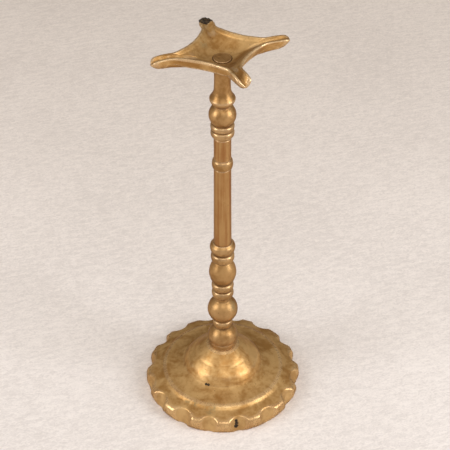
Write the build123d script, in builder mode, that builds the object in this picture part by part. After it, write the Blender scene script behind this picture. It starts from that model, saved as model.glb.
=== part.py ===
from build123d import *
import os
from math import sqrt

os.makedirs("parts", exist_ok=True)

# ---- driving sizes, millimetres; the foot stands on z = 0 and the stem axis is Z ----
# foot
foot_radius = 76.5
floor_radius = 74.0
foot_wall = 4.0
shoulder_radius = 72.0
shoulder_height = 15.0
ridge_radius = 57.4
ridge_height = 21.0
step_radius = 37.9
step_height = 26.6
dome_line_radius = 26.4
dome_line_height = 40.8
dome_top_radius = 13.4
dome_top = 50.6
boss_radius = 11.0
boss_bottom = 31.0
# scalloped edge of the foot
notch_count = 16
notch_first_angle = -93.0
notch_cutter_radius = 10.5
notch_cutter_centre = 83.2
notch_lean = 14.0
# foot collar and screwed spigot of the stem
collar_radius = 13.5
collar_top = 57.0
foot_thread_radius = 6.0
foot_thread_pitch = 3.0
foot_thread_end = 32.0
running_gap = 0.05
thread_depth = 0.6
# double ball section
lower_ball_radius = 14.75
lower_ball_height = 60.5
cove_radius = 9.7
upper_ball_radius = 14.6
upper_ball_height = 96.2
section_ring_radius = 10.5
ball_section_top = 122.4
# baluster section
peg_radius = 5.0
peg_length = 8.0
baluster_radius = 13.0
baluster_height = 142.8
socket_radius = 12.0
socket_height = 174.4
socket_top = 180.6
socket_floor = 171.5
# shafts and the ring between them
shaft_foot_radius = 8.3
shaft_top_radius = 7.85
shaft_ring_bottom = 267.2
shaft_ring_top = 277.3
shaft_ring_radius = 9.5
shaft_peg_radius = 5.5
upper_shaft_radius = 7.8
upper_shaft_top = 300.6
# knop above the shaft
knop_ring_radius = 10.7
knop_ball_radius = 12.2
knop_ball_height = 324.8
knop_top = 334.9
# neck under the dish
neck_thread_radius = 4.5
neck_thread_pitch = 2.5
neck_thread_end = 320.0
bead_radius = 11.5
bead_height = 341.8
neck_radius = 7.5
neck_top = 379.3
# dish and its rivet
dish_floor = 381.8
dish_rim = 393.8
dish_wall = 2.0
# each spout, anticlockwise from +X: reach, neck, half width, sideways offset
spouts = [(59.0, 38.0, 5.0, 0.0), (50.5, 33.5, 6.4, 2.6), (62.8, 42.0, 4.9, 2.0), (51.0, 34.5, 6.0, 2.6)]
# hollow side after each spout: its nearest distance to the stem axis
waists = [24.8, 26.3, 28.4, 25.7]
rivet_radius = 7.9
rivet_shank_radius = 4.0
rivet_shank_end = 368.0


def ball_edge(radius, height, low, high):
    """Half outline of a ball, from one height to another."""
    start = sqrt(radius**2 - (low - height) ** 2)
    finish = sqrt(radius**2 - (high - height) ** 2)
    ThreePointArc((start, low), (radius, height), (finish, high))
    return start, finish


def ring_edge(edge, wide, low, high):
    """Half outline of a rounded ring between two heights."""
    ThreePointArc((edge, low), (wide, (low + high) / 2), (edge, high))


def thread_points(radius, pitch, bottom, top):
    """Zigzag half outline for a screw spigot, as plain grooves one pitch apart."""
    turns = int((top - bottom) / pitch)
    points = [(radius - thread_depth, bottom)]
    for turn in range(turns):
        root = bottom + turn * pitch
        points += [
            (radius, root + pitch * 0.3),
            (radius, root + pitch * 0.5),
            (radius - thread_depth, root + pitch * 0.8),
            (radius - thread_depth, root + pitch),
        ]
    points += [(radius - thread_depth, top)]
    return points


# ---- foot: hollow cast base with a scalloped edge, a ridge and a dome ----
with BuildPart() as foot:
    with BuildSketch(Plane.XZ):
        with BuildLine():
            bore = foot_thread_radius + running_gap
            Polyline((bore, boss_bottom), (boss_radius, boss_bottom), (boss_radius, dome_top - 6.6))
            ThreePointArc((boss_radius, dome_top - 6.6), (25.2, 35.6), (34.2, 23.6))
            Polyline((34.2, 23.6), (54.0, 16.4), (63.5, 11.8), (66.0, 7.5), (66.5, 0), (floor_radius, 0))
            ThreePointArc((floor_radius, 0), (foot_radius, 7.0), (75.6, 11.5))
            ThreePointArc((75.6, 11.5), (74.6, 13.9), (shoulder_radius, shoulder_height))
            Line((shoulder_radius, shoulder_height), (60.4, 18.1))
            ThreePointArc((60.4, 18.1), (59.3, 19.9), (ridge_radius, ridge_height))
            ThreePointArc((ridge_radius, ridge_height), (56.0, 21.0), (54.8, 20.5))
            Line((54.8, 20.5), (step_radius, step_height))
            Line((step_radius, step_height), (37.2, 28.4))
            ThreePointArc(
                (37.2, 28.4), (33.0, 34.9), (dome_line_radius + 0.5, dome_line_height - 0.5)
            )
            Line(
                (dome_line_radius + 0.5, dome_line_height - 0.5),
                (dome_line_radius, dome_line_height),
            )
            ThreePointArc(
                (dome_line_radius, dome_line_height), (20.7, 45.5), (dome_top_radius, dome_top)
            )
            Polyline((dome_top_radius, dome_top), (bore, dome_top), (bore, boss_bottom))
        make_face()
    revolve(axis=Axis.Z)
    with PolarLocations(notch_cutter_centre, notch_count, start_angle=notch_first_angle):
        Cylinder(
            notch_cutter_radius, 6 * shoulder_height, rotation=(0, -notch_lean, 0), mode=Mode.SUBTRACT
        )
foot.part.label = "foot"
export_step(foot.part, "parts/foot.step")

# ---- foot collar: loose turned ring on top of the dome ----
with BuildPart() as foot_collar:
    with BuildSketch(Plane.XZ):
        with BuildLine():
            hole = foot_thread_radius + 4 * running_gap
            Polyline((hole, collar_top), (hole, dome_top), (13.0, dome_top))
            ThreePointArc(
                (13.0, dome_top), (collar_radius, (dome_top + collar_top) / 2), (13.1, collar_top)
            )
            Line((13.1, collar_top), (hole, collar_top))
        make_face()
    revolve(axis=Axis.Z)
foot_collar.part.label = "foot_collar"
export_step(foot_collar.part, "parts/foot_collar.step")

# ---- double ball section: spigot, ball, cove ring, ball, ring ----
with BuildPart() as double_ball_section:
    with BuildSketch(Plane.XZ):
        with BuildLine():
            low_foot, low_neck = ball_edge(lower_ball_radius, lower_ball_height, collar_top, 72.9)
            Line((low_neck, 72.9), (7.5, 74.8))
            ring_edge(7.5, cove_radius, 74.8, 83.2)
            high_foot = sqrt(upper_ball_radius**2 - (84.2 - upper_ball_height) ** 2)
            Line((7.5, 83.2), (high_foot, 84.2))
            high_foot, high_neck = ball_edge(upper_ball_radius, upper_ball_height, 84.2, 108.4)
            Polyline((high_neck, 108.4), (7.2, 109.8), (7.2, 111.8), (7.8, 113.4))
            ring_edge(7.8, section_ring_radius, 113.4, 121.8)
            Line((7.8, 121.8), (7.8, ball_section_top))
            Polyline(
                (7.8, ball_section_top),
                (peg_radius, ball_section_top),
                (peg_radius, ball_section_top - peg_length),
                (0, ball_section_top - peg_length),
                (0, foot_thread_end),
            )
            spigot = thread_points(
                foot_thread_radius, foot_thread_pitch, foot_thread_end, collar_top
            )
            Polyline((0, foot_thread_end), *spigot, (low_foot, collar_top))
        make_face()
    revolve(axis=Axis.Z)
double_ball_section.part.label = "double_ball_section"
export_step(double_ball_section.part, "parts/double_ball_section.step")

# ---- baluster section: peg, ring, long oval, ring and the socket for the shaft ----
with BuildPart() as baluster_section:
    with BuildSketch(Plane.XZ):
        with BuildLine():
            peg_end = ball_section_top - peg_length
            Polyline(
                (0, peg_end), (peg_radius, peg_end), (peg_radius, ball_section_top),
                (7.8, ball_section_top), (7.8, 122.9),
            )
            ring_edge(7.8, section_ring_radius + 0.1, 122.9, 131.1)
            Line((7.8, 131.1), (8.4, 131.9))
            Spline((8.4, 131.9), (11.1, 135.4), (baluster_radius, baluster_height), (8.2, 157.2))
            Line((8.2, 157.2), (8.3, 158.4))
            ring_edge(8.3, 11.1, 158.4, 167.6)
            Line((8.3, 167.6), (8.8, 168.8))
            Spline((8.8, 168.8), (11.3, 171.2), (socket_radius, socket_height), (9.5, socket_top - 0.6))
            Polyline(
                (9.5, socket_top - 0.6),
                (9.0, socket_top),
                (shaft_foot_radius, socket_top),
                (shaft_foot_radius, socket_floor),
                (0, socket_floor),
                (0, peg_end),
            )
        make_face()
    revolve(axis=Axis.Z)
baluster_section.part.label = "baluster_section"
export_step(baluster_section.part, "parts/baluster_section.step")

# ---- lower shaft: slightly tapered rod ----
with BuildPart() as lower_shaft:
    with BuildSketch(Plane.XZ):
        with BuildLine():
            ring_middle = (shaft_ring_bottom + shaft_ring_top) / 2
            Polyline(
                (0, socket_floor),
                (shaft_foot_radius, socket_floor),
                (shaft_foot_radius, socket_top),
                (shaft_top_radius, shaft_ring_bottom),
                (shaft_peg_radius, shaft_ring_bottom),
                (shaft_peg_radius, ring_middle),
                (0, ring_middle),
                (0, socket_floor),
            )
        make_face()
    revolve(axis=Axis.Z)
lower_shaft.part.label = "lower_shaft"
export_step(lower_shaft.part, "parts/lower_shaft.step")

# ---- shaft ring: sleeve over the pegs of both shafts ----
with BuildPart() as shaft_ring:
    with BuildSketch(Plane.XZ):
        with BuildLine():
            Polyline(
                (8.1, shaft_ring_top),
                (shaft_peg_radius, shaft_ring_top),
                (shaft_peg_radius, shaft_ring_bottom),
                (8.2, shaft_ring_bottom),
            )
            ring_edge(8.2, shaft_ring_radius, shaft_ring_bottom, shaft_ring_top - 0.6)
            Line((8.2, shaft_ring_top - 0.6), (8.1, shaft_ring_top))
        make_face()
    revolve(axis=Axis.Z)
shaft_ring.part.label = "shaft_ring"
export_step(shaft_ring.part, "parts/shaft_ring.step")

# ---- upper shaft: plain rod with a peg at each end ----
with BuildPart() as upper_shaft:
    with Locations((0, 0, (shaft_ring_top + upper_shaft_top) / 2)):
        Cylinder(upper_shaft_radius, upper_shaft_top - shaft_ring_top)
    with Locations((0, 0, ring_middle)):
        Cylinder(
            shaft_peg_radius,
            shaft_ring_top - ring_middle,
            align=(Align.CENTER, Align.CENTER, Align.MIN),
        )
    with Locations((0, 0, upper_shaft_top)):
        Cylinder(peg_radius, 10.0, align=(Align.CENTER, Align.CENTER, Align.MIN))
upper_shaft.part.label = "upper_shaft"
export_step(upper_shaft.part, "parts/upper_shaft.step")

# ---- upper knop: two rings and a ball, bored from both ends ----
with BuildPart() as upper_knop:
    with BuildSketch(Plane.XZ):
        with BuildLine():
            neck_bore = neck_thread_radius + running_gap
            Polyline(
                (0, upper_shaft_top + 10.0),
                (peg_radius, upper_shaft_top + 10.0),
                (peg_radius, upper_shaft_top),
                (8.4, upper_shaft_top),
                (8.5, 302.6),
            )
            ring_edge(8.5, knop_ring_radius - 0.1, 302.6, 309.2)
            Line((8.5, 309.2), (8.5, 309.8))
            ring_edge(8.5, knop_ring_radius, 309.8, 315.8)
            ball_start = sqrt(knop_ball_radius**2 - (316.6 - knop_ball_height) ** 2)
            Line((8.5, 315.8), (ball_start, 316.6))
            ball_start, ball_finish = ball_edge(knop_ball_radius, knop_ball_height, 316.6, 334.4)
            Polyline(
                (ball_finish, 334.4),
                (7.2, knop_top),
                (neck_bore, knop_top),
                (neck_bore, neck_thread_end - 2.0),
                (0, neck_thread_end - 2.0),
                (0, upper_shaft_top + 10.0),
            )
        make_face()
    revolve(axis=Axis.Z)
upper_knop.part.label = "upper_knop"
export_step(upper_knop.part, "parts/upper_knop.step")

# ---- dish neck: screw spigot, sharp bead and waisted neck ----
with BuildPart() as dish_neck:
    with BuildSketch(Plane.XZ):
        with BuildLine():
            rivet_bore = rivet_shank_radius
            spigot = thread_points(neck_thread_radius, neck_thread_pitch, neck_thread_end, knop_top)
            Polyline((0, neck_thread_end), *spigot, (7.2, knop_top), (7.2, 335.6))
            Spline(
                (7.2, 335.6), (10.4, 338.5), (bead_radius, bead_height), (9.8, 345.2), (neck_radius, 349.8)
            )
            Spline((neck_radius, 349.8), (neck_radius - 0.2, 362.0), (neck_radius + 0.5, neck_top))
            Polyline(
                (neck_radius + 0.5, neck_top),
                (rivet_bore, neck_top),
                (rivet_bore, rivet_shank_end - 1.0),
                (0, rivet_shank_end - 1.0),
                (0, neck_thread_end),
            )
        make_face()
    revolve(axis=Axis.Z)
dish_neck.part.label = "dish_neck"
export_step(dish_neck.part, "parts/dish_neck.step")


def star_edges(reach_share, width_share, waist_share):
    """Four-spouted outline: blunt parallel spouts joined by hollow sides."""
    for turn in range(4):
        reach, neck, half, aside = spouts[turn]
        next_reach, next_neck, next_half, next_aside = spouts[(turn + 1) % 4]
        half, next_half = half * width_share, next_half * width_share
        end = reach * reach_share - half * blunt_end
        corner = waists[turn] * waist_share / sqrt(2)
        outline = [
            Vector(end, aside - half),
            Vector(reach * reach_share, aside),
            Vector(end, aside + half),
            Vector(neck * reach_share, aside + half),
            Vector(corner, corner),
            Vector(next_half - next_aside, next_neck * reach_share),
            Vector(next_half - next_aside, next_reach * reach_share - next_half * blunt_end),
        ]
        a, b, c, d, e, f, g = [point.rotate(Axis.Z, 90 * turn) for point in outline]
        ThreePointArc(a, b, c)
        Line(c, d)
        ThreePointArc(d, e, f)
        Line(f, g)


# ---- dish: shallow bowl with four spouts ----
# each level: height, then its share of the spouts' reach, of their width and of the waists
blunt_end = 0.8
outside_levels = [
    (neck_top, 0.42, 1.00, 0.56),
    (neck_top + 1.4, 0.64, 1.00, 0.74),
    (neck_top + 3.6, 0.88, 0.98, 0.88),
    (neck_top + 7.0, 0.975, 0.96, 0.95),
    (dish_rim, 1.0, 1.0, 1.0),
]
inside_levels = [
    (dish_floor, 0.34, 0.80, 0.47),
    (dish_floor + 1.6, 0.60, 0.74, 0.66),
    (dish_floor + 4.0, 0.84, 0.60, 0.79),
    (dish_floor + 7.2, 0.94, 0.60, 0.86),
    (dish_rim, 0.967, 0.66, 0.925),
]
with BuildPart() as dish:
    for height, *level in outside_levels:
        with BuildSketch(Plane.XY.offset(height)):
            with BuildLine():
                star_edges(*level)
            make_face()
    loft(ruled=True)
    for height, *level in inside_levels:
        with BuildSketch(Plane.XY.offset(height)):
            with BuildLine():
                star_edges(*level)
            make_face()
    loft(ruled=True, mode=Mode.SUBTRACT)
    with Locations((0, 0, dish_floor)):
        Cylinder(rivet_shank_radius, 4 * dish_wall, mode=Mode.SUBTRACT)
dish.part.label = "dish"
export_step(dish.part, "parts/dish.step")

# ---- dish rivet: shank through the dish into the neck, flat head on the dish floor ----
with BuildPart() as dish_rivet:
    with BuildSketch(Plane.XZ):
        with BuildLine():
            shank = rivet_shank_radius - running_gap
            Polyline(
                (0, dish_floor + 1.0),
                (0, rivet_shank_end),
                (shank, rivet_shank_end),
                (shank, dish_floor),
                (rivet_radius, dish_floor),
                (rivet_radius, dish_floor + 0.9),
            )
            ThreePointArc(
                (rivet_radius, dish_floor + 0.9),
                (rivet_radius - 0.5, dish_floor + 1.4),
                (rivet_radius - 1.1, dish_floor + 1.0),
            )
            Line((rivet_radius - 1.1, dish_floor + 1.0), (0, dish_floor + 1.0))
        make_face()
    revolve(axis=Axis.Z)
dish_rivet.part.label = "dish_rivet"
export_step(dish_rivet.part, "parts/dish_rivet.step")
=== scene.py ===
"""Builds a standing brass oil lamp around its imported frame, piece by piece.

Each piece is turned, cast or hammered brass: a scalloped hollow foot, a stem of screwed and pegged
turnings, and a shallow four-spouted oil dish riveted to its neck. Outlines are in millimetres, as
(radius, height) pairs; meshes are written in metres, in the frame's own axes.
"""
import math

import bpy
import numpy as np
from bpy.props import FloatProperty, FloatVectorProperty, IntProperty, PointerProperty
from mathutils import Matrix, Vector, noise


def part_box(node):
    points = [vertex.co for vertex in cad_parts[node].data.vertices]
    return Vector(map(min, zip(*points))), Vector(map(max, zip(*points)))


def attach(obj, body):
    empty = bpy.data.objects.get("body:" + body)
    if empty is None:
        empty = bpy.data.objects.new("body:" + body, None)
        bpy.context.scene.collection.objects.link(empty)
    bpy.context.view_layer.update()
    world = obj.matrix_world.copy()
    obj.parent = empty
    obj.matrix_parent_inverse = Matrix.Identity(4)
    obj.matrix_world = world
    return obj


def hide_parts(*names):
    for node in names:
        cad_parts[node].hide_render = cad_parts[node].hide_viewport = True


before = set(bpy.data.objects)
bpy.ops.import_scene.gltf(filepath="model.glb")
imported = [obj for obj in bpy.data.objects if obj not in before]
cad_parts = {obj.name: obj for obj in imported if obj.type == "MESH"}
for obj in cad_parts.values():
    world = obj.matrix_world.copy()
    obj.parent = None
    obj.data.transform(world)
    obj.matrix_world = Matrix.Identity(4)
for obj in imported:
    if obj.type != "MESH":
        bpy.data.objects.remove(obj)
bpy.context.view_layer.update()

bl_info = {
    "name": "Standing Oil Lamp",
    "version": (1, 0, 0),
    "blender": (4, 5, 0),
    "location": "3D View > Sidebar > Oil Lamp",
    "description": "Builds a turned brass oil lamp with a scalloped foot and a four-spouted dish",
    "category": "Object",
}

MM = 0.001
# the flat ring the foot stands on, between these radii in millimetres
FLOOR_EDGE = 74.0
HOLLOW_EDGE = 66.5
# thickness of the dish's floor, in millimetres
DISH_FLOOR = 2.5
# the way the camera looks, about Z
VIEW_SWING = math.radians(-15.5)
ACROSS = Vector((math.cos(VIEW_SWING), math.sin(VIEW_SWING), 0))
AHEAD = Vector((-math.sin(VIEW_SWING), math.cos(VIEW_SWING), 0))
UP = Vector((0, 0, 1))


def low_mm(node):
    """Height of a node's lowest point, in millimetres."""
    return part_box(node)[0][2] / MM


def top_mm(node):
    """Height of a node's highest point, in millimetres."""
    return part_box(node)[1][2] / MM


def radius_mm(node):
    """Greatest radius of a turned node, in millimetres."""
    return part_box(node)[1][0] / MM


# ---------------------------------------------------------------- settings


def length(name, description, default):
    """A property that holds a length."""
    return FloatProperty(
        name=name, description=description, default=default, unit="LENGTH", subtype="DISTANCE"
    )


def tint(name, description, default):
    """A property that holds a colour."""
    return FloatVectorProperty(name=name, description=description, default=default, subtype="COLOR")


DISH_LOW, DISH_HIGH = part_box("dish")


class LampSizes(bpy.types.PropertyGroup):
    """Sizes a maker would change."""

    scallops: IntProperty(
        name="Scallops",
        description="Number of notches round the foot's edge",
        default=16,
        min=3,
    )
    scallop_lean: FloatProperty(
        name="Scallop lean",
        description="How far each notch leans in towards the stem",
        default=math.radians(14.0),
        subtype="ANGLE",
    )
    right_spout: length("Right spout", "From the stem's axis to the spout's end on +X", DISH_HIGH[0])
    back_spout: length("Back spout", "From the stem's axis to the spout's end on +Y", DISH_HIGH[1])
    left_spout: length("Left spout", "From the stem's axis to the spout's end on -X", -DISH_LOW[0])
    front_spout: length("Front spout", "From the stem's axis to the spout's end on -Y", -DISH_LOW[1])
    dish_wall: length("Dish wall", "Thickness of the dish at its rim", 0.002)
    foot_thread_pitch: length("Foot thread pitch", "Rise of the stem in one turn", 0.003)
    dish_thread_pitch: length("Dish thread pitch", "Rise of the dish in one turn", 0.0025)


class BrassFinish(bpy.types.PropertyGroup):
    """Colours of the old brass and of the ground it stands on."""

    honey: tint("Honey brass", "The light, golden areas of the metal", (0.405, 0.226, 0.084))
    brown: tint("Brown brass", "The darker areas, toned by age", (0.27, 0.135, 0.042))
    # the foot and dish use a lighter copy of the stem's brass: painted light, for the light their
    # up-facing surfaces catch
    lit_brass: tint("Rubbed brass", "The foot and dish, kept lighter by wiping", (0.56, 0.335, 0.128))
    lit_brass_dark: tint("Rubbed brass, dark", "Darker clouds on the foot and dish", (0.35, 0.172, 0.048))
    red_tone: tint("Red tone", "The redder cast of the plain shafts", (0.30, 0.132, 0.043))
    worn: tint("Worn edge", "Edges rubbed bright by handling", (0.74, 0.53, 0.31))
    # grime in pits and joints, and painted shade in the hollows below their surroundings
    grime_and_shade: tint("Grime", "Old polish and dirt in the grooves", (0.085, 0.045, 0.018))
    soot: tint("Soot", "Burnt crust on the spouts and in pits", (0.022, 0.017, 0.013))
    bloom: tint("Dull bloom", "Brown-green bloom in a few places", (0.19, 0.155, 0.075))
    filed: tint("Filed facets", "Dull metal left where the foot's edge was filed", (0.50, 0.35, 0.165))
    ground: tint("Ground", "The pale ground under the lamp", (0.77, 0.685, 0.60))
    # the ground behind the lamp: a painted falloff of the light across the floor
    ground_behind_painted_falloff: tint("Ground behind", "The ground well behind the lamp", (0.79, 0.69, 0.595))
    cleanness: FloatProperty(
        name="Cleanness",
        description="How much bare metal shows through the tarnish",
        default=0.62,
        min=0.0,
        max=1.0,
        subtype="FACTOR",
    )
    roughness: FloatProperty(
        name="Roughness",
        description="How dull the clean metal is",
        default=0.38,
        min=0.05,
        max=1.0,
        subtype="FACTOR",
    )


# ---------------------------------------------------------------- outlines


def spread(low, high, spacing):
    """Evenly spaced values from low to high, no further apart than spacing."""
    count = max(2, int(math.ceil(abs(high - low) / spacing)) + 1)
    return [low + (high - low) * i / (count - 1) for i in range(count)]


def ball(radius, height, low, high, spacing=0.5):
    """Outline of a ball between two heights."""
    start = math.asin((low - height) / radius)
    finish = math.asin((high - height) / radius)
    turns = spread(start, finish, spacing / radius)
    return [(radius * math.cos(a), height + radius * math.sin(a)) for a in turns]


def ring(edge, wide, low, high, fullness=2.6):
    """Outline of a rounded ring; a greater fullness makes it squarer."""
    middle, half = (low + high) / 2, (high - low) / 2
    power = 2 / fullness
    points = []
    for a in spread(-math.pi / 2, math.pi / 2, 0.12):
        out = max(math.cos(a), 0.0) ** power
        rise = math.copysign(abs(math.sin(a)) ** power, math.sin(a))
        points.append((edge + (wide - edge) * out, middle + half * rise))
    return points


def flow(points, per_span=10):
    """A smooth curve through a few points (Catmull-Rom)."""
    p = [np.array(q, float) for q in points]
    p = [2 * p[0] - p[1]] + p + [2 * p[-1] - p[-2]]
    made = []
    for i in range(1, len(p) - 2):
        for t in np.linspace(0, 1, per_span, endpoint=False):
            made.append(
                0.5
                * (
                    2 * p[i]
                    + (p[i + 1] - p[i - 1]) * t
                    + (2 * p[i - 1] - 5 * p[i] + 4 * p[i + 1] - p[i + 2]) * t**2
                    + (3 * p[i] - p[i - 1] - 3 * p[i + 1] + p[i + 2]) * t**3
                )
            )
    made.append(p[-2])
    return [tuple(q) for q in made]


def worn_outline(points, spacing=0.45, passes=2, closed=False):
    """Resamples an outline evenly and softens its corners, as handling does."""
    p = np.array(points, float)
    if closed:
        p = np.vstack([p, p[:1]])
    keep = np.r_[True, np.linalg.norm(np.diff(p, axis=0), axis=1) > 1e-6]
    p = p[keep]
    along = np.r_[0, np.cumsum(np.linalg.norm(np.diff(p, axis=0), axis=1))]
    count = int(along[-1] / spacing) + 1
    at = np.linspace(0, along[-1], count)
    p = np.column_stack([np.interp(at, along, p[:, 0]), np.interp(at, along, p[:, 1])])
    if closed:
        p = p[:-1]
    for _ in range(passes):
        before, after = np.roll(p, 1, axis=0), np.roll(p, -1, axis=0)
        soft = (before + 2 * p + after) / 4
        if not closed:
            soft[0], soft[-1] = p[0], p[-1]
        p = soft
    return p


# ---------------------------------------------------------------- meshes


def lathe(outline, around, closed=False):
    """Turns an outline about Z; a point on the axis becomes a pole."""
    outline = np.asarray(outline, float)
    turn = 2 * math.pi * np.arange(around) / around
    verts, faces, starts = [], [], []
    for r, z in outline:
        starts.append(len(verts))
        if r < 1e-6:
            verts.append((0.0, 0.0, z))
        else:
            verts += [(r * math.cos(a), r * math.sin(a), z) for a in turn]
    pairs = [(i, i + 1) for i in range(len(outline) - 1)]
    if closed:
        pairs.append((len(outline) - 1, 0))
    for i, k in pairs:
        a, b = starts[i], starts[k]
        a_pole, b_pole = outline[i][0] < 1e-6, outline[k][0] < 1e-6
        for j in range(around):
            n = (j + 1) % around
            if a_pole and b_pole:
                break
            if a_pole:
                faces.append((a, b + n, b + j))
            elif b_pole:
                faces.append((a + j, a + n, b))
            else:
                faces.append((a + j, a + n, b + n, b + j))
    return np.array(verts), faces


def hand_made(verts, amount, size, seed):
    """Moves vertices a little in and out, as hand turning, filing and knocks leave them."""
    moved = verts.copy()
    shift = Vector((seed * 7.3, seed * 3.1, seed * 5.7))
    for i, v in enumerate(verts):
        p = Vector(v)
        if abs(p.x) + abs(p.y) < 1e-6:
            continue
        push = noise.fractal(p / size + shift, 0.9, 2.0, 3) * amount
        out = Vector((p.x, p.y, 0)).normalized()
        moved[i] = p + out * push
    return moved


def helix(verts, radius, low, high, pitch, depth):
    """Cuts a right-handed screw thread into the spigot that lies between two heights."""
    moved = verts.copy()
    r = np.hypot(verts[:, 0], verts[:, 1])
    on = (np.abs(r - radius) < 0.35) & (verts[:, 2] > low) & (verts[:, 2] < high)
    turn = np.arctan2(verts[:, 1], verts[:, 0]) / (2 * math.pi)
    phase = (verts[:, 2] / pitch - turn) % 1.0
    crest = np.clip(1.6 * (1 - np.abs(2 * phase - 1)) - 0.25, 0, 1)
    ends = np.clip((verts[:, 2] - low) / pitch, 0, 1) * np.clip((high - verts[:, 2]) / pitch, 0, 1)
    cut = 1 - depth * (1 - crest * np.minimum(ends * 2, 1)) / radius
    moved[on, 0] *= cut[on]
    moved[on, 1] *= cut[on]
    return moved


def relief(mesh, passes):
    """Writes how far each vertex stands proud of (+) or sunk below (-) its surroundings, in mm."""
    count = len(mesh.vertices)
    co = np.empty(count * 3)
    mesh.vertices.foreach_get("co", co)
    co = co.reshape(-1, 3)
    ends = np.empty(len(mesh.edges) * 2, int)
    mesh.edges.foreach_get("vertices", ends)
    a, b = ends[0::2], ends[1::2]
    links = np.bincount(a, minlength=count) + np.bincount(b, minlength=count)
    soft = co.copy()
    for _ in range(passes):
        total = np.zeros_like(soft)
        for axis in range(3):
            total[:, axis] = np.bincount(a, soft[b, axis], count) + np.bincount(b, soft[a, axis], count)
        soft = (soft + total / links[:, None]) / 2
    normals = np.empty(count * 3)
    mesh.vertices.foreach_get("normal", normals)
    proud = ((co - soft) * normals.reshape(-1, 3)).sum(axis=1) / MM
    layer = mesh.attributes.new("relief", "FLOAT", "POINT")
    layer.data.foreach_set("value", proud.astype(np.float32))


def make_piece(name, verts, faces, body, node, material, passes=14, filed=None):
    """Makes one finished piece, rides it on its body and lets it stand for its CAD node."""
    mesh = bpy.data.meshes.new(name)
    mesh.from_pydata((verts * MM).tolist(), [], faces)
    mesh.validate()
    mesh.polygons.foreach_set("use_smooth", [True] * len(mesh.polygons))
    mesh.update()
    relief(mesh, passes)
    if filed is not None:
        layer = mesh.attributes.new("filed", "FLOAT", "POINT")
        layer.data.foreach_set("value", filed.astype(np.float32))
    piece = bpy.data.objects.new(name, mesh)
    bpy.context.scene.collection.objects.link(piece)
    piece.data.materials.append(material)
    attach(piece, body)
    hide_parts(node)


# ---------------------------------------------------------------- brass


class Nodes:
    """Shorthand for building one material's node tree."""

    def __init__(self, name):
        self.material = bpy.data.materials.new(name)
        self.material.use_nodes = True
        self.tree = self.material.node_tree
        self.tree.nodes.clear()
        self.out = self.add("ShaderNodeOutputMaterial")

    def add(self, kind, **settings):
        node = self.tree.nodes.new(kind)
        for key, value in settings.items():
            setattr(node, key, value)
        return node

    def link(self, source, target):
        self.tree.links.new(source, target)

    def feed(self, socket, value):
        """Sets a socket to a value, or links it to another socket."""
        if isinstance(value, bpy.types.NodeSocket):
            self.link(value, socket)
        else:
            socket.default_value = value

    def math(self, operation, a, b=0.0, clamp=False):
        node = self.add("ShaderNodeMath", operation=operation, use_clamp=clamp)
        self.feed(node.inputs[0], a)
        self.feed(node.inputs[1], b)
        return node.outputs[0]

    def plus(self, a, b, clamp=False):
        return self.math("ADD", a, b, clamp)

    def minus(self, a, b, clamp=False):
        return self.math("SUBTRACT", a, b, clamp)

    def times(self, a, b):
        return self.math("MULTIPLY", a, b)

    def about_zero(self, value, amount):
        """A noise value moved to lie either side of 0 and scaled to an amount."""
        return self.times(self.minus(value, 0.5), amount)

    def between(self, value, low, high):
        """0 below low, 1 above high, smooth between."""
        node = self.add("ShaderNodeMapRange", interpolation_type="SMOOTHSTEP")
        self.feed(node.inputs["Value"], value)
        node.inputs["From Min"].default_value = low
        node.inputs["From Max"].default_value = high
        return node.outputs["Result"]

    def mix(self, amount, a, b):
        """Mixes two colours."""
        node = self.add("ShaderNodeMix", data_type="RGBA")
        self.feed(node.inputs["Factor"], amount)
        self.feed(node.inputs["A"], a)
        self.feed(node.inputs["B"], b)
        return node.outputs["Result"]

    def noise(self, place, size, detail=4.0, rough=0.55, twist=0.0):
        """Noise whose lumps are about size millimetres across."""
        node = self.add("ShaderNodeTexNoise")
        self.feed(node.inputs["Vector"], place)
        node.inputs["Scale"].default_value = 1.0 / size
        node.inputs["Detail"].default_value = detail
        node.inputs["Roughness"].default_value = rough
        node.inputs["Distortion"].default_value = twist
        return node.outputs["Fac"]

    def cells(self, place, size):
        """Distance to scattered points about size millimetres apart."""
        node = self.add("ShaderNodeTexVoronoi")
        self.feed(node.inputs["Vector"], place)
        node.inputs["Scale"].default_value = 1.0 / size
        return node.outputs["Distance"]

    def place_mm(self):
        """The piece's own coordinates in millimetres."""
        where = self.add("ShaderNodeTexCoord")
        scale = self.add("ShaderNodeVectorMath", operation="SCALE")
        self.link(where.outputs["Object"], scale.inputs[0])
        scale.inputs["Scale"].default_value = 1 / MM
        return scale.outputs["Vector"]

    def stretched(self, place, factors):
        """Coordinates scaled by a factor along each axis."""
        node = self.add("ShaderNodeVectorMath", operation="MULTIPLY")
        self.feed(node.inputs[0], place)
        node.inputs[1].default_value = factors
        return node.outputs["Vector"]

    def near(self, place, point, reach, soft=0.5):
        """1 at a point on the piece, fading to 0 at reach millimetres from it."""
        node = self.add("ShaderNodeVectorMath", operation="DISTANCE")
        self.feed(node.inputs[0], place)
        node.inputs[1].default_value = point
        gap = self.add("ShaderNodeMapRange", interpolation_type="SMOOTHSTEP")
        self.feed(gap.inputs["Value"], node.outputs["Value"])
        gap.inputs["From Min"].default_value = reach
        gap.inputs["From Max"].default_value = reach * soft
        return gap.outputs["Result"]


def opaque(colour):
    """A colour with full alpha."""
    return (*colour, 1.0)


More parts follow.
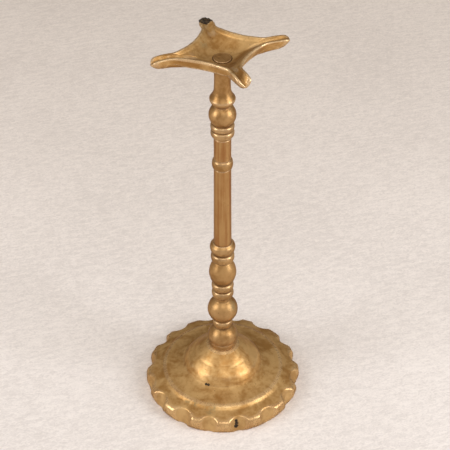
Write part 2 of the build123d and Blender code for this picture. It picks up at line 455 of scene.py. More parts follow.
def old_brass(
    name,
    light,
    dark,
    made="turned",
    spots=(),
    soot_spots=(),
    seed=0.0,
    dirt_and_shade=0.85,
    groove=(0.02, 0.18),
    wear=0.35,
    seam=0.0,
):
    """Aged brass: cloudy tone, grime and painted shade in the hollows, bright worn edges, pits and tool
    lines.

    spots and soot_spots are (point, reach) in millimetres. The strengths for the hollows and for wear
    set how strongly grime with painted shade, and worn metal, show; groove is the depth over which
    grime and painted shade gather; seam is the radius of a dark joint.
    """
    finish = bpy.context.scene.oil_lamp_finish
    n = Nodes(name)
    place = n.place_mm()
    shift = n.add("ShaderNodeVectorMath", operation="ADD")  # no two pieces share their clouds
    n.link(place, shift.inputs[0])
    shift.inputs[1].default_value = (seed * 31.0, seed * 17.0, seed * 11.0)
    own = shift.outputs["Vector"]

    cloud = n.noise(own, 17.0, detail=3.0, twist=0.6)
    mottle = n.noise(own, 3.4, detail=6.0, rough=0.68)
    speck = n.noise(own, 0.9, detail=5.0, rough=0.7)
    tone = n.plus(n.times(cloud, 0.65), n.times(mottle, 0.35))
    if made == "drawn":
        streaks = n.noise(n.stretched(own, (0.42, 0.42, 0.012)), 1.0, detail=4.0, rough=0.6)
        tone = n.plus(n.times(tone, 0.35), n.times(streaks, 0.65))
    colour = n.mix(n.between(tone, 0.38, 0.62), opaque(dark), opaque(light))
    freckle = n.times(n.between(mottle, 0.56, 0.74), 0.45)
    colour = n.mix(freckle, colour, opaque(finish.brown))

    # tool lines: rings round a turned piece, lengthwise on a drawn one, none on a casting
    run = {"turned": (0.05, 0.05, 2.2), "drawn": (1.1, 1.1, 0.03), "cast": (0.6, 0.6, 0.6)}[made]
    lines = n.noise(n.stretched(own, run), 1.0, detail=5.0, rough=0.65)

    filed_depth = n.add("ShaderNodeAttribute", attribute_name="filed").outputs["Fac"]
    filed = n.between(filed_depth, 0.8, 3.0)
    colour = n.mix(n.times(filed, 0.25), colour, opaque(finish.filed))

    # grime and painted shade in what lies below its surroundings, worn metal on what stands above them
    level = n.add("ShaderNodeAttribute", attribute_name="relief").outputs["Fac"]
    ragged = n.plus(level, n.about_zero(mottle, 0.12))
    sunk = n.between(n.times(ragged, -1.0), *groove)
    sunk = n.times(sunk, n.minus(1.0, filed))
    proud = n.between(n.plus(level, n.about_zero(mottle, 0.04)), 0.05, 0.20)
    colour = n.mix(n.times(sunk, dirt_and_shade), colour, opaque(finish.grime_and_shade))
    colour = n.mix(n.times(proud, wear), colour, opaque(finish.worn))
    if seam:
        across = n.add("ShaderNodeVectorMath", operation="LENGTH")
        n.link(n.stretched(place, (1.0, 1.0, 0.0)), across.inputs[0])
        off = n.math("ABSOLUTE", n.minus(across.outputs["Value"], seam))
        colour = n.mix(n.times(n.between(off, 0.9, 0.3), 0.75), colour, opaque(finish.grime_and_shade))

    pits = n.between(n.cells(own, 4.6), 0.13, 0.05)
    pits = n.times(pits, n.between(n.noise(own, 9.0, detail=2.0), 0.50, 0.60))
    colour = n.mix(n.times(pits, 0.75), colour, opaque(finish.grime_and_shade))

    dull = 0.0
    for point, reach in spots:
        patch = n.near(place, point, reach)
        patch = n.times(patch, n.between(mottle, 0.42, 0.56))
        colour = n.mix(n.times(patch, 0.5), colour, opaque(finish.bloom))
        dull = n.plus(dull, n.times(patch, 0.25))
    burnt = 0.0
    for point, reach in soot_spots:
        patch = n.near(place, point, reach, soft=0.55)
        patch = n.between(n.plus(patch, n.about_zero(mottle, 2.2)), 0.35, 0.75)
        flakes = n.minus(1.0, n.times(n.between(speck, 0.50, 0.66), 0.35))
        colour = n.mix(n.times(patch, flakes), colour, opaque(finish.soot))
        burnt = n.math("MAXIMUM", burnt, patch)

    rough = n.plus(finish.roughness, n.about_zero(mottle, 0.30))
    rough = n.plus(rough, n.about_zero(lines, 0.16))
    rough = n.plus(rough, n.times(sunk, 0.25))
    rough = n.minus(rough, n.times(proud, 0.10))
    rough = n.plus(n.plus(rough, dull), n.times(filed, 0.15))
    rough = n.plus(rough, n.times(burnt, 0.4), clamp=True)

    height = n.times(lines, 0.5)
    height = n.plus(height, n.times(mottle, 0.9))
    height = n.plus(height, n.times(speck, 0.35))
    height = n.minus(height, n.times(pits, 1.8))
    bump = n.add("ShaderNodeBump")
    bump.inputs["Strength"].default_value = 0.30
    bump.inputs["Distance"].default_value = 0.22 * MM
    n.link(height, bump.inputs["Height"])

    shader = n.add("ShaderNodeBsdfPrincipled")
    n.link(colour, shader.inputs["Base Color"])
    n.link(rough, shader.inputs["Roughness"])
    metal = n.minus(finish.cleanness, n.times(sunk, 0.4 * dirt_and_shade))
    metal = n.minus(metal, n.times(filed, 0.12))
    metal = n.minus(metal, n.times(burnt, 0.9), clamp=True)
    n.link(metal, shader.inputs["Metallic"])
    shader.inputs["Specular Tint"].default_value = (0.22, 0.15, 0.09, 1.0)
    shader.inputs["Specular IOR Level"].default_value = 0.25
    n.link(bump.outputs["Normal"], shader.inputs["Normal"])
    n.link(shader.outputs["BSDF"], n.out.inputs["Surface"])
    return n.material


# ---------------------------------------------------------------- foot


def foot_outline():
    """Outline of the hollow foot, from its floor edge over the dome and back inside."""
    dome_top = top_mm("foot")
    bore, boss, boss_end = 6.05, 11.0, dome_top - 19.6
    edge = [(74.4, 0.2), (76.2, 4.4), (76.5, 8.0), (75.7, 11.8), (73.9, 14.0), (71.0, 15.3)]
    band = [(70.0, 15.7), (65.5, 16.9), (62.6, 17.7)]
    ridge = [(61.4, 18.4), (60.0, 19.6), (58.4, 20.7), (56.8, 21.3), (55.4, 21.5)]
    slope = [(54.4, 21.6), (48.0, 22.9), (42.0, 24.7), (39.4, 25.9), (38.4, 26.7), (37.9, 28.0)]
    dome_side = [(37.5, 29.0), (33.8, 34.4), (27.4, 40.1)]
    cut_line = [(27.0, 40.2), (26.1, 40.9)]
    dome_crown = [(25.7, 41.7), (20.2, 46.0), (13.4, dome_top)]
    outer = [(FLOOR_EDGE, 0.0)] + flow(edge) + flow(band) + flow(ridge) + flow(slope)
    outer += flow(dome_side) + cut_line + flow(dome_crown)
    inner = [(bore, dome_top), (bore, boss_end), (boss, boss_end), (boss, dome_top - 6.6)]
    inner += flow([(11.0, 44.0), (25.2, 35.6), (34.2, 23.6)])
    inner += [(54.0, 16.4), (63.5, 11.8), (66.0, 7.5), (HOLLOW_EDGE, 0.0)]
    return outer, inner


def scallop(verts, sizes):
    """Cuts the leaning round notches into the foot's edge; also returns how deep each vertex was cut."""
    count = sizes.scallops
    step = 2 * math.pi / count
    first = math.radians(-93.0)
    cutter, centre, soft = 10.5, 83.4, 3.0
    # degrees by which each notch is off its even place
    drift = [-0.6, 0.9, 2.4, 1.0, 0.3, -2.2, 0.3, 0.6, -1.0, 1.5, -0.8, 0.7, 1.2, -1.4, 0.5, -0.4]
    x, y, z = verts.T
    r, turn = np.hypot(x, y), np.arctan2(y, x)
    k = np.round((turn - first) / step).astype(int) % count
    middle = first + k * step + np.radians(np.array(drift)[k % len(drift)])
    off = (turn - middle + math.pi) % (2 * math.pi) - math.pi
    reach = cutter * (1 + 0.12 * np.sin(k * 2.4))
    far = centre + reach - cutter + 0.7 * np.sin(k * 1.7) - z * math.tan(sizes.scallop_lean)
    side = np.clip(np.abs(far * np.sin(off)), 0, reach)
    cut = far * np.cos(off) - np.sqrt(reach**2 - side**2)
    blend = np.clip(soft - np.abs(r - cut), 0, None) / soft
    new_r = np.minimum(r, cut) - blend**2 * soft / 4
    on_floor = z < 0.05
    share = (r - HOLLOW_EDGE) / (FLOOR_EDGE - HOLLOW_EDGE)
    narrowed = HOLLOW_EDGE + share * (np.minimum(FLOOR_EDGE, cut) - HOLLOW_EDGE)
    new_r = np.where(on_floor, narrowed, new_r)
    above = (r < 58.0) | (z > 20.0)
    hollow = ((r < HOLLOW_EDGE + 0.01) & (z < 15.0)) | ((z < 16.2) & (r < 67.0) & ~on_floor)
    leave = above | hollow
    new_r = np.where(leave, r, new_r)
    depth = np.where(leave | on_floor, 0, np.clip(r - new_r, 0, None))
    ratio = new_r / np.maximum(r, 1e-9)
    return np.column_stack([x * ratio, y * ratio, z]), depth


def worn_foot():
    """The foot's outline with close rows outside and wider rows inside the hollow."""
    outer, inner = foot_outline()
    seen = worn_outline(outer, spacing=0.85, passes=1)
    hidden = worn_outline(inner, spacing=2.2, passes=0)
    floor = [(r, 0.0) for r in spread(HOLLOW_EDGE, FLOOR_EDGE, 2.0)[1:-1]]
    return np.vstack([seen, hidden, floor])


class LAMP_OT_foot(bpy.types.Operator):
    """Build the hollow scalloped foot with its ridge, dome and boss"""

    bl_idname = "oil_lamp.foot"
    bl_label = "Foot"

    def execute(self, context):
        sizes, finish = context.scene.oil_lamp_sizes, context.scene.oil_lamp_finish
        verts, faces = lathe(worn_foot(), around=400, closed=True)
        verts, depth = scallop(verts, sizes)
        outside = np.hypot(verts[:, 0], verts[:, 1]) > 12.0
        uneven = hand_made(verts, 0.22, 16.0, seed=1)
        verts[outside, :2] = uneven[outside, :2]
        brass = old_brass(
            "foot_brass",
            # a lighter copy of the brass: painted light for the light the foot's up-facing surfaces
            # catch
            finish.lit_brass,
            finish.lit_brass_dark,
            made="cast",
            spots=[
                ((-27.0, -55.0, 18.0), 8.0),
                ((-46.0, -38.8, 19.0), 4.0),
                ((-40.4, -44.5, 19.0), 4.0),
            ],
            soot_spots=[
                # the first three paint a thin dark slit down the front of the edge in the soot colour;
                # no slit is cut, so this dark stands in for the slit's shade as well as its burn
                ((-6.0, -71.0, 12.0), 2.4),
                ((-5.8, -71.5, 9.0), 2.7),
                ((-6.3, -72.0, 6.0), 3.0),
                ((-24.9, -29.3, 26.8), 1.8),
                ((-23.0, -30.7, 26.8), 1.8),
            ],
            seed=1.0,
            # strength of grime and painted shade in the foot's hollows
            dirt_and_shade=0.5,
            groove=(0.10, 0.50),
            wear=0.2,
        )
        make_piece(
            "foot_cast", verts, faces, "base", "foot", brass, passes=20, filed=depth
        )
        return {"FINISHED"}


class LAMP_OT_foot_collar(bpy.types.Operator):
    """Build the loose turned ring on top of the dome"""

    bl_idname = "oil_lamp.foot_collar"
    bl_label = "Foot collar"

    def execute(self, context):
        finish = context.scene.oil_lamp_finish
        low, top, wide = low_mm("foot_collar"), top_mm("foot_collar"), radius_mm("foot_collar")
        hole = 6.2
        outline = [(hole, top), (hole, low)] + ring(wide - 0.5, wide, low, top, fullness=3.0)
        verts, faces = lathe(worn_outline(outline, closed=True), around=160, closed=True)
        verts = hand_made(verts, 0.06, 9.0, seed=2)
        brass = old_brass("collar_brass", finish.honey, finish.brown, seed=2.0)
        make_piece("collar_ring", verts, faces, "collar", "foot_collar", brass)
        return {"FINISHED"}


# ---------------------------------------------------------------- stem


def double_ball_outline():
    """Spigot, lower ball, ring, upper ball and ring, from the bottom up."""
    low, seat = low_mm("double_ball_section"), top_mm("foot_collar")
    top = top_mm("double_ball_section")
    spigot, peg, peg_depth = 6.0, 5.0, 8.0
    outline = [(0, low), (spigot - 0.8, low), (spigot, low + 1.0), (spigot, seat)]
    outline += ball(14.75, 60.5, seat, 73.0) + [(7.5, 74.4)]
    outline += ring(7.4, 9.75, 74.9, 83.3, fullness=2.4)
    outline += ball(14.6, 96.2, 84.3, 108.4) + [(7.2, 109.6), (7.2, 112.0)]
    outline += ring(7.6, 10.55, 113.2, top - 0.4, fullness=2.3) + [(7.7, top)]
    outline += [(peg, top), (peg, top - peg_depth), (0, top - peg_depth)]
    return outline


def baluster_outline():
    """Peg, ring, long oval, ring and the flared socket."""
    low, top = low_mm("baluster_section"), top_mm("baluster_section")
    peg, seat, socket, socket_depth = 5.0, top_mm("double_ball_section"), 8.3, 9.1
    outline = [(0, low), (peg, low), (peg, seat), (7.7, seat)]
    outline += ring(7.6, 10.65, seat + 0.4, 131.2, fullness=2.3) + [(8.0, 131.8)]
    oval = [(8.6, 132.3), (11.3, 135.6), (12.98, 142.8), (11.9, 150.2), (8.6, 157.0)]
    flare = [(8.7, 168.6), (10.9, 170.6), (12.0, 174.4), (11.4, 177.6), (9.7, 179.8)]
    outline += flow(oval)
    outline += [(8.0, 157.8)] + ring(7.9, 11.15, 158.3, 167.8, fullness=2.4) + [(8.0, 168.2)]
    outline += flow(flare)
    outline += [(9.0, top), (socket, top), (socket, top - socket_depth), (0, top - socket_depth)]
    return outline


def lower_shaft_outline():
    """Slightly tapered rod with a peg on its top end."""
    low, top, lip = low_mm("lower_shaft"), top_mm("lower_shaft"), low_mm("shaft_ring")
    foot, head, peg = 8.3, 7.85, 5.5
    return [(0, low), (foot, low), (foot, low + 9.1), (head, lip), (peg, lip), (peg, top), (0, top)]


def shaft_ring_outline():
    """Rounded sleeve over both shafts' pegs."""
    low, top, wide = low_mm("shaft_ring"), top_mm("shaft_ring"), radius_mm("shaft_ring")
    peg = 5.5
    outline = [(peg, top), (peg, low)] + ring(8.0, wide, low, top - 0.6, fullness=2.1)
    return outline + [(7.9, top)]


def upper_shaft_outline():
    """Plain rod with a peg at each end."""
    low, top = low_mm("upper_shaft"), top_mm("upper_shaft")
    lower_lip, upper_lip = top_mm("shaft_ring"), low_mm("upper_knop")
    rod = radius_mm("upper_shaft")
    outline = [(0, low), (5.5, low), (5.5, lower_lip), (rod, lower_lip), (rod, upper_lip)]
    return outline + [(5.0, upper_lip), (5.0, top), (0, top)]


def knop_outline():
    """Two rings and a ball, bored for the shaft below and the dish's spigot above."""
    low, top = low_mm("upper_knop"), top_mm("upper_knop")
    peg, bore = 5.0, 4.55
    outline = [(0, low + 10.0), (peg, low + 10.0), (peg, low), (8.2, low), (8.3, 301.9)]
    outline += ring(8.3, 10.6, 302.4, 309.2, fullness=2.3) + [(8.3, 309.5)]
    outline += ring(8.3, 10.7, 309.8, 315.9, fullness=2.3) + [(8.3, 316.2)]
    outline += ball(12.2, 324.8, 316.6, 334.4) + [(7.2, top)]
    return outline + [(bore, top), (bore, top - 16.9), (0, top - 16.9)]


def neck_outline():
    """Screw spigot, sharp bead and waisted neck, bored for the rivet."""
    low, top, seat = low_mm("dish_neck"), top_mm("dish_neck"), top_mm("upper_knop")
    spigot, bore = 4.5, 4.0
    outline = [(0, low), (spigot - 0.7, low), (spigot, low + 0.9), (spigot, seat), (7.2, seat)]
    bead = [(7.3, 335.6), (10.2, 338.2), (11.5, 341.6), (10.9, 343.4), (8.9, 346.4), (7.6, 350.0)]
    waist = [(7.5, 350.6), (7.2, 359.0), (7.3, 369.0), (8.0, top)]
    outline += flow(bead) + flow(waist)
    return outline + [(bore, top), (bore, top - 12.3), (0, top - 12.3)]


def build_turning(name, outline, node, body, material, closed=False, thread=None):
    """Turns one outline, cuts its thread if it has one, and makes the piece."""
    verts, faces = lathe(worn_outline(outline, closed=closed), around=128, closed=closed)
    if thread:
        verts = helix(verts, *thread)
    verts = hand_made(verts, 0.06, 11.0, seed=len(name))
    make_piece(name, verts, faces, body, node, material)


class LAMP_OT_double_ball(bpy.types.Operator):
    """Build the screwed section with two balls and two rings"""

    bl_idname = "oil_lamp.double_ball"
    bl_label = "Double ball section"

    def execute(self, context):
        sizes, finish = context.scene.oil_lamp_sizes, context.scene.oil_lamp_finish
        brass = old_brass(
            "ball_brass",
            finish.honey,
            finish.brown,
            spots=[((9.5, -8.0, 103.0), 7.5), ((12.0, -6.0, 64.0), 5.0)],
            seed=3.0,
        )
        low, top = low_mm("double_ball_section"), top_mm("foot_collar")
        thread = (6.0, low, top, sizes.foot_thread_pitch / MM, 0.65)
        outline, node = double_ball_outline(), "double_ball_section"
        build_turning("double_ball", outline, node, "stem", brass, thread=thread)
        return {"FINISHED"}


class LAMP_OT_baluster(bpy.types.Operator):
    """Build the oval section with its rings and shaft socket"""

    bl_idname = "oil_lamp.baluster"
    bl_label = "Baluster section"

    def execute(self, context):
        finish = context.scene.oil_lamp_finish
        brass = old_brass("baluster_brass", finish.honey, finish.brown, seed=4.0)
        build_turning("baluster", baluster_outline(), "baluster_section", "stem", brass)
        return {"FINISHED"}


class LAMP_OT_shafts(bpy.types.Operator):
    """Build both plain shafts and the ring that joins them"""

    bl_idname = "oil_lamp.shafts"
    bl_label = "Shafts and ring"

    def execute(self, context):
        finish = context.scene.oil_lamp_finish
        rod = old_brass("shaft_brass", finish.honey, finish.red_tone, made="drawn", seed=5.0)
        cast = old_brass("ring_brass", finish.honey, finish.brown, seed=6.0)
        low, sleeve, high = lower_shaft_outline(), shaft_ring_outline(), upper_shaft_outline()
        build_turning("shaft_low", low, "lower_shaft", "stem", rod)
        build_turning("shaft_sleeve", sleeve, "shaft_ring", "stem", cast, closed=True)
        build_turning("shaft_high", high, "upper_shaft", "stem", rod)
        return {"FINISHED"}


class LAMP_OT_knop(bpy.types.Operator):
    """Build the knop of two rings and a ball"""

    bl_idname = "oil_lamp.knop"
    bl_label = "Upper knop"

    def execute(self, context):
        finish = context.scene.oil_lamp_finish
        brass = old_brass("knop_brass", finish.honey, finish.brown, seed=7.0)
        build_turning("knop", knop_outline(), "upper_knop", "stem", brass)
        return {"FINISHED"}


class LAMP_OT_neck(bpy.types.Operator):
    """Build the neck with its sharp bead and screw spigot"""

    bl_idname = "oil_lamp.neck"
    bl_label = "Dish neck"

    def execute(self, context):
        sizes, finish = context.scene.oil_lamp_sizes, context.scene.oil_lamp_finish
        brass = old_brass("neck_brass", finish.honey, finish.brown, seed=8.0)
        thread = (4.5, low_mm("dish_neck"), top_mm("upper_knop"), sizes.dish_thread_pitch / MM, 0.6)
        build_turning("neck", neck_outline(), "dish_neck", "neck", brass, thread=thread)
        return {"FINISHED"}


# ---------------------------------------------------------------- dish


def arc_through(a, b, c, count):
    """Points on the circle through a, b and c, from a to c."""
    a, b, c = (np.array(p, float) for p in (a, b, c))
    d = 2 * (a[0] * (b[1] - c[1]) + b[0] * (c[1] - a[1]) + c[0] * (a[1] - b[1]))
    sa, sb, sc = (p @ p for p in (a, b, c))
    ux = (sa * (b[1] - c[1]) + sb * (c[1] - a[1]) + sc * (a[1] - b[1])) / d
    uy = (sa * (c[0] - b[0]) + sb * (a[0] - c[0]) + sc * (b[0] - a[0])) / d
    middle = np.array([ux, uy])
    radius = np.linalg.norm(a - middle)
    start = math.atan2(*(a - middle)[::-1])
    finish = math.atan2(*(c - middle)[::-1])
    via = math.atan2(*(b - middle)[::-1])
    sweep = (finish - start) % (2 * math.pi)
    if (via - start) % (2 * math.pi) > sweep:
        sweep -= 2 * math.pi
    turns = start + sweep * np.linspace(0, 1, count)
    return np.column_stack([ux + radius * np.cos(turns), uy + radius * np.sin(turns)])


def star(spouts, waists, inset=0.0, longer=0.0):
    """Outline of the dish, moved in by inset: four blunt spouts joined by hollow sides."""
    points = []
    for k in range(4):
        reach, neck, half, aside, blunt = spouts[k][:5]
        next_reach, next_neck, next_half, next_aside, next_blunt = spouts[(k + 1) % 4][:5]
        half, next_half = half - inset, next_half - inset
        corner = (waists[k] - inset) / math.sqrt(2)
        tip, next_tip = reach + longer - inset, next_reach + longer - inset
        end, next_end = tip - blunt * half, next_tip - next_blunt * next_half
        edge, next_edge = aside + half, next_half - next_aside
        nose = arc_through((end, aside - half), (tip, aside), (end, edge), 17)
        wall = np.linspace((end, edge), (neck, edge), 18)
        side = arc_through((neck, edge), (corner, corner), (next_edge, next_neck), 40)
        next_wall = np.linspace((next_edge, next_neck), (next_edge, next_end), 18)
        quarter = np.vstack([nose[:-1], wall[:-1], side[:-1], next_wall[:-1]])
        c, s = math.cos(k * math.pi / 2), math.sin(k * math.pi / 2)
        points.append(quarter @ np.array([[c, s], [-s, c]]))
    return rounded(np.vstack(points), 6)


def rounded(points, passes):
    """Softens the corners of a closed outline."""
    for _ in range(passes):
        points = (np.roll(points, 1, axis=0) + 2 * points + np.roll(points, -1, axis=0)) / 4
    return points


def gap_to(points, outline):
    """Distance from each point to a closed outline."""
    start, along = outline, np.roll(outline, -1, axis=0) - outline
    length = (along**2).sum(axis=1)
    best = np.full(len(points), np.inf)
    for a, d, n in zip(start, along, length):
        t = np.clip(((points - a) @ d) / max(n, 1e-12), 0, 1)
        best = np.minimum(best, np.hypot(*(points - a - t[:, None] * d).T))
    return best


def circle(radius, like):
    """A round level with its points in step with another level's."""
    turn = np.arctan2(like[:, 1], like[:, 0])
    return radius * np.column_stack([np.cos(turn), np.sin(turn)])


def dish_shape(sizes):
    """The four spouts, anticlockwise from +X, and how near each hollow side comes to the stem.

    A spout's row: reach, neck, half width, sideways offset, bluntness, openness of its lip, and how
    far in from its end it starts to close.
    """
    spouts = [
        (sizes.right_spout / MM + 0.3, 38.0, 5.0, 0.0, 0.7, 0.35, 9.0),
        (sizes.back_spout / MM, 33.5, 6.4, 2.6, 0.7, 0.12, 30.0),
        (sizes.left_spout / MM, 42.0, 4.9, 2.0, 0.7, 0.75, 9.0),
        (sizes.front_spout / MM + 1.0, 34.5, 6.2, 0.9, 0.3, 0.95, 9.0),
    ]
    return spouts, (24.8, 26.3, 28.4, 25.7)


def dish_levels(sizes):
    """The dish's rings of vertices: out over the hollow, over the rim, and back in underneath."""
    spouts, waists = dish_shape(sizes)
    under, floor, rim = top_mm("dish_neck"), low_mm("dish") + DISH_FLOOR, top_mm("dish")
    wall, hole, rivet = sizes.dish_wall / MM, 4.0, radius_mm("dish_rivet")
    inner = star(spouts, waists, inset=wall)
    outer = star(spouts, waists)
    open_side = star(spouts, waists, inset=wall, longer=14.0)
    count = len(outer)

    def openness(points):
        """How far each point's spout end is cut down to its channel."""
        spout = np.round(np.arctan2(points[:, 1], points[:, 0]) / (math.pi / 2)).astype(int) % 4
        reach, share, run = np.array([(row[0], row[5], row[6]) for row in spouts])[spout].T
        along = np.abs(np.where(spout % 2 == 0, points[:, 0], points[:, 1]))
        close = np.clip((along - reach + run) / (run - 1.0), 0, 1)
        return 1 - (1 - share) * close**2 * (3 - 2 * close)

    def hollow(points):
        """Height of the dish's inside: a round bowl near the stem, channels along the spouts."""
        gap, far = gap_to(points, open_side), np.hypot(*points.T)
        bowl = (1 - np.clip(far / 33.0, 0, 1) ** 2.3) * (1 - (1 - np.clip(gap / 15.0, 0, 1)) ** 2.2)
        channel = 1 - (1 - np.clip(gap / 20.0, 0, 1)) ** 2.4
        share = np.clip((far - 20.0) / 20.0, 0, 1)
        share = share**2 * (3 - 2 * share)
        return rim - (rim - floor) * (share * channel + (1 - share) * bowl) * openness(points)

    edge_height = hollow(inner)
    rows = []
    middle = circle(9.6, inner)
    for u in np.r_[np.linspace(0, 0.8, 15), np.linspace(0.8, 1, 9)[1:]]:
        points = middle + (inner - middle) * u
        rows.append((points, hollow(points)))
    for share, lift in ((0.20, -0.14), (0.45, 0.0), (0.72, -0.06), (0.92, -0.41)):
        rows.append((inner + (outer - inner) * share, edge_height + lift))
    below = circle(9.0, outer)
    for u in np.r_[np.linspace(1, 0.8, 9), np.linspace(0.8, 0, 13)[1:]]:
        points = below + (outer - below) * u
        gap = np.clip(gap_to(points, outer) / 12.0, 0, 1)
        rows.append((points, under + (edge_height - 0.75 - under) * (1 - gap) ** 3.0))
    heights = soften(np.array([z for _, z in rows]), 10, 22, 27)
    first = [(circle(radius, inner), np.full(count, floor)) for radius in (hole, rivet - 0.4)]
    last = [(circle(hole, outer), np.full(count, height)) for height in (under, under + 1.2)]
    return first + [(points, heights[i]) for i, (points, _) in enumerate(rows)] + last


def soften(grid, passes, rim_low, rim_high):
    """Evens out creases in a grid of heights, leaving its ends and the rim between two rows alone."""
    for _ in range(passes):
        soft = grid.copy()
        beside = np.roll(grid, 1, axis=1) + np.roll(grid, -1, axis=1)
        soft[1:-1] = (grid[:-2] + grid[2:] + beside[1:-1]) / 4
        soft[rim_low:rim_high] = grid[rim_low:rim_high]
        grid = soft
    return grid


def loft(levels):
    """Joins closed levels of equal length into one closed skin."""
    count = len(levels[0][0])
    verts = np.vstack([np.column_stack([points, z]) for points, z in levels])
    faces = []
    rows = len(levels)
    for i in range(rows):
        k = (i + 1) % rows
        for j in range(count):
            n = (j + 1) % count
            faces.append((i * count + j, k * count + j, k * count + n, i * count + n))
    return verts, faces


def knobs(place, size):
    """A push that changes its way every few millimetres, the same in every run."""
    starts = (Vector(place) + Vector((0, 0, 40.0 * axis)) for axis in range(3))
    return Vector([noise.turbulence(start / size, 3, False) for start in starts])


def knock_about(verts):
    """Gives the dish its hand-made look: a wavy rim, hammered sides, two spouts that droop and a
    burnt crust on the back spout."""
    rim, floor = top_mm("dish"), low_mm("dish")
    burnt = Vector((-2.6, 46.5, rim - 2.0))
    moved = verts.copy()
    for i, v in enumerate(verts):
        x, y, z = v
        far = math.hypot(x, y)
        if far < 12.0:
            continue
        if y < -30.0 and abs(x) < 12.0:  # the front spout, bent to one side
            x += 4.0 * ((-30.0 - y) / 20.0) ** 1.5
            z -= 3.0 * max(0.0, (-40.0 - y) / 12.0) ** 2
        if x < -44.0:  # the end of the left spout
            z -= 2.2 * ((-44.0 - x) / 18.0) ** 2
        up = (z - floor) / (rim - floor)
        out = min((far - 12.0) / 30.0, 1.0)
        ripple = noise.fractal(Vector((x, y, 3.0)) / 15.0, 0.9, 2.0, 3)
        lump = noise.fractal(Vector((x + 40.0, y, z)) / 7.0, 0.9, 2.0, 3)
        z += out * (0.45 * ripple * up + 0.18 * lump)
        grow = 1 + 0.006 * out * lump
        place = Vector((x * grow, y * grow, z))
        crust = max(0.0, 1 - (place - burnt).length / 11.0)
        if crust > 0:
            place += knobs(v, 3.4) * 1.3 * min(1.0, crust * 2)
        moved[i] = place
    return moved


class LAMP_OT_dish(bpy.types.Operator):
    """Build the shallow four-spouted oil dish"""

    bl_idname = "oil_lamp.dish"
    bl_label = "Dish"

    def execute(self, context):
        sizes, finish = context.scene.oil_lamp_sizes, context.scene.oil_lamp_finish
        verts, faces = loft(dish_levels(sizes))
        verts = knock_about(verts)
        brass = old_brass(
            "dish_brass",
            # the lighter copy of the brass: painted light for the light the dish's up-facing surfaces
            # catch
            finish.lit_brass,
            finish.lit_brass_dark,
            made="cast",
            spots=[((-14.0, 16.0, 386.0), 7.0)],
            soot_spots=[
                ((-2.5, 48.5, 392.0), 11.0),
                ((-12.0, 13.0, 385.0), 1.5),
                ((-10.5, 18.0, 386.0), 1.8),
            ],
            seed=9.0,
            # strength of grime and painted shade in the dish's hollows
            dirt_and_shade=0.3,
            groove=(0.06, 0.30),
            wear=0.5,
            seam=8.0,
        )
        make_piece("oil_dish", verts, faces, "dish_top", "dish", brass, passes=10)
        return {"FINISHED"}


def rivet_outline():
    """Shank and flat head with a thin raised edge."""
    low, top, reach = low_mm("dish_rivet"), top_mm("dish_rivet"), radius_mm("dish_rivet")
    floor, shank, dip = low_mm("dish") + DISH_FLOOR, 3.95, 0.5
    outline = [(0, low), (shank, low), (shank, floor), (reach - 0.2, floor)]
    return outline + [(reach, floor + 0.7), (reach - 0.5, top), (reach - 1.2, top - dip), (0, top - dip)]


class LAMP_OT_rivet(bpy.types.Operator):
    """Build the rivet that holds the dish on its neck"""

    bl_idname = "oil_lamp.rivet"
    bl_label = "Dish rivet"

    def execute(self, context):
        finish = context.scene.oil_lamp_finish
        verts, faces = lathe(worn_outline(rivet_outline(), spacing=0.35, passes=1), around=96)
        on_head = verts[:, 2] > low_mm("dish") + DISH_FLOOR + 0.3
        from_dent = np.hypot(verts[:, 0] + 2.6, verts[:, 1] - 1.8)
        verts[on_head, 2] -= 0.45 * np.clip(1 - (from_dent[on_head] / 1.8) ** 2, 0, None)
        brass = old_brass("rivet_brass", finish.honey, finish.brown, made="cast", seed=10.0)
        make_piece("rivet", verts, faces, "dish_top", "dish_rivet", brass, passes=8)
        return {"FINISHED"}


# ---------------------------------------------------------------- stage


def ground_material(finish):
    """Pale matt ground with a faint brushed mottle, and a painted falloff of light from before the lamp
    to behind it.
    """
    n = Nodes("ground")
    place = n.place_mm()
    behind = n.add("ShaderNodeVectorMath", operation="DOT_PRODUCT")
    n.link(place, behind.inputs[0])
    behind.inputs[1].default_value = AHEAD
    # the ground's colour shifts from before the lamp to behind it: a painted falloff of the light across
    # the floor
    away = n.between(behind.outputs["Value"], -450.0, 650.0)
    broad = n.noise(place, 140.0, detail=3.0)
    streak = n.noise(n.stretched(place, (0.3, 1.0, 1.0)), 5.0, detail=6.0, rough=0.65)
    grain = n.noise(n.stretched(place, (0.6, 1.0, 1.0)), 2.6, detail=3.0, rough=0.6, twist=1.5)
    tone = n.plus(n.times(broad, 0.15), n.times(streak, 0.35))
    tone = n.plus(tone, n.times(grain, 0.5))
    pale = n.mix(away, opaque(finish.ground), opaque(finish.ground_behind_painted_falloff))
    deep = n.mix(0.30, pale, (0.30, 0.24, 0.20, 1.0))
    colour = n.mix(n.between(tone, 0.38, 0.62), deep, pale)
    bump = n.add("ShaderNodeBump")
    bump.inputs["Strength"].default_value = 0.35
    bump.inputs["Distance"].default_value = 0.6 * MM
    n.link(n.plus(streak, grain), bump.inputs["Height"])
    shader = n.add("ShaderNodeBsdfPrincipled")
    n.link(colour, shader.inputs["Base Color"])
    shader.inputs["Roughness"].default_value = 0.85
    n.link(bump.outputs["Normal"], shader.inputs["Normal"])
    n.link(shader.outputs["BSDF"], n.out.inputs["Surface"])
    return n.material


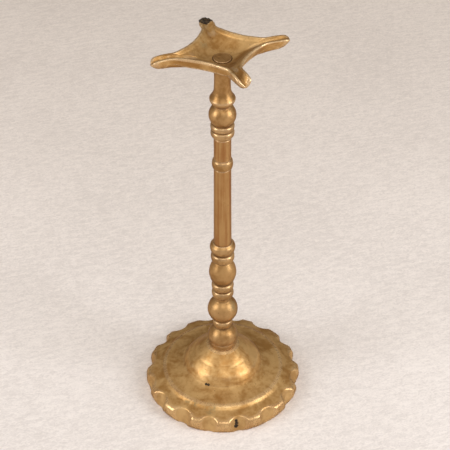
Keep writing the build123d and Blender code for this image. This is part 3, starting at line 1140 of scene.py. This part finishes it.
def studio_world(bright_side):
    """Soft studio surroundings: bright above and before the lamp, dim behind it."""
    world = bpy.data.worlds.new("studio")
    world.use_nodes = True
    tree = world.node_tree
    where = tree.nodes.new("ShaderNodeTexCoord")
    facing = tree.nodes.new("ShaderNodeVectorMath")
    facing.operation = "DOT_PRODUCT"
    facing.inputs[1].default_value = bright_side
    tree.links.new(where.outputs["Generated"], facing.inputs[0])
    shade = tree.nodes.new("ShaderNodeMapRange")
    shade.interpolation_type = "SMOOTHSTEP"
    shade.inputs["From Min"].default_value = -0.35
    shade.inputs["From Max"].default_value = 0.95
    shade.inputs["To Min"].default_value = 0.16
    shade.inputs["To Max"].default_value = 0.72
    tree.links.new(facing.outputs["Value"], shade.inputs["Value"])
    back = tree.nodes["Background"]
    back.inputs["Color"].default_value = (1.0, 0.945, 0.88, 1)
    tree.links.new(shade.outputs["Result"], back.inputs["Strength"])
    return world


def soft_box(name, place, aim, size, power, colour):
    """A rectangular soft light aimed at a point."""
    lamp = bpy.data.lights.new(name, "AREA")
    lamp.shape = "RECTANGLE"
    lamp.size, lamp.size_y = size
    lamp.energy = power
    lamp.color = colour
    holder = bpy.data.objects.new(name, lamp)
    holder.location = place
    holder.rotation_euler = (aim - place).to_track_quat("-Z", "Y").to_euler()
    bpy.context.scene.collection.objects.link(holder)


class LAMP_OT_stage(bpy.types.Operator):
    """Build the ground, the soft lights and the camera"""

    bl_idname = "oil_lamp.stage"
    bl_label = "Stage"

    def execute(self, context):
        scene = context.scene
        finish = scene.oil_lamp_finish
        mesh = bpy.data.meshes.new("ground")
        half = 4.0
        corners = [(-half, -half, 0), (half, -half, 0), (half, half, 0), (-half, half, 0)]
        mesh.from_pydata(corners, [], [(0, 1, 2, 3)])
        ground = bpy.data.objects.new("ground", mesh)
        ground.data.materials.append(ground_material(finish))
        scene.collection.objects.link(ground)

        aim = Vector((0, 0, 0.15))
        clear = (0.91, 0.985, 1.13)
        for side, name, power in ((-1, "left_box", 13.5), (1, "right_box", 17.0)):
            place = aim + 1.5 * (side * 0.84 * ACROSS - 0.36 * AHEAD + 0.42 * UP)
            soft_box(name, place, aim, (0.65, 0.95), power, clear)
        place = aim + 1.5 * (0.12 * ACROSS - 0.78 * AHEAD + 0.98 * UP)
        soft_box("front_box", place, aim, (0.95, 0.75), 7.0, clear)
        scene.world = studio_world((-0.55 * AHEAD + 0.83 * UP).normalized())
        scene.view_settings.view_transform = "Standard"
        scene.view_settings.look = "None"

        eye = bpy.data.cameras.new("camera")
        eye.sensor_width = 36.0
        eye.lens = 115.87
        holder = bpy.data.objects.new("camera", eye)
        distance, height = 1.0297, 1.0507
        tilt, pan = math.radians(39.5575), math.radians(0.124)
        holder.location = -AHEAD * distance + UP * height
        holder.rotation_euler = (math.pi / 2 - tilt, 0, VIEW_SWING - pan)
        scene.collection.objects.link(holder)
        scene.camera = holder
        return {"FINISHED"}


class LAMP_PT_panel(bpy.types.Panel):
    """Lists the lamp's pieces in the sidebar"""

    bl_label = "Oil Lamp"
    bl_idname = "LAMP_PT_panel"
    bl_space_type = "VIEW_3D"
    bl_region_type = "UI"
    bl_category = "Oil Lamp"

    def draw(self, context):
        for group in (context.scene.oil_lamp_sizes, context.scene.oil_lamp_finish):
            box = self.layout.box()
            for name in group.__annotations__:
                box.prop(group, name)
        for step in STEPS:
            self.layout.operator(step.bl_idname)


STEPS = (
    LAMP_OT_foot,
    LAMP_OT_foot_collar,
    LAMP_OT_double_ball,
    LAMP_OT_baluster,
    LAMP_OT_shafts,
    LAMP_OT_knop,
    LAMP_OT_neck,
    LAMP_OT_dish,
    LAMP_OT_rivet,
    LAMP_OT_stage,
)
CLASSES = (LampSizes, BrassFinish, *STEPS, LAMP_PT_panel)


def register():
    for item in CLASSES:
        bpy.utils.register_class(item)
    bpy.types.Scene.oil_lamp_sizes = PointerProperty(type=LampSizes)
    bpy.types.Scene.oil_lamp_finish = PointerProperty(type=BrassFinish)


def unregister():
    del bpy.types.Scene.oil_lamp_finish
    del bpy.types.Scene.oil_lamp_sizes
    for item in reversed(CLASSES):
        bpy.utils.unregister_class(item)


def main():
    """Builds every piece in order."""
    register()
    bpy.ops.oil_lamp.foot()
    bpy.ops.oil_lamp.foot_collar()
    bpy.ops.oil_lamp.double_ball()
    bpy.ops.oil_lamp.baluster()
    bpy.ops.oil_lamp.shafts()
    bpy.ops.oil_lamp.knop()
    bpy.ops.oil_lamp.neck()
    bpy.ops.oil_lamp.dish()
    bpy.ops.oil_lamp.rivet()
    bpy.ops.oil_lamp.stage()
    bpy.context.view_layer.update()


if __name__ == "__main__":
    main()
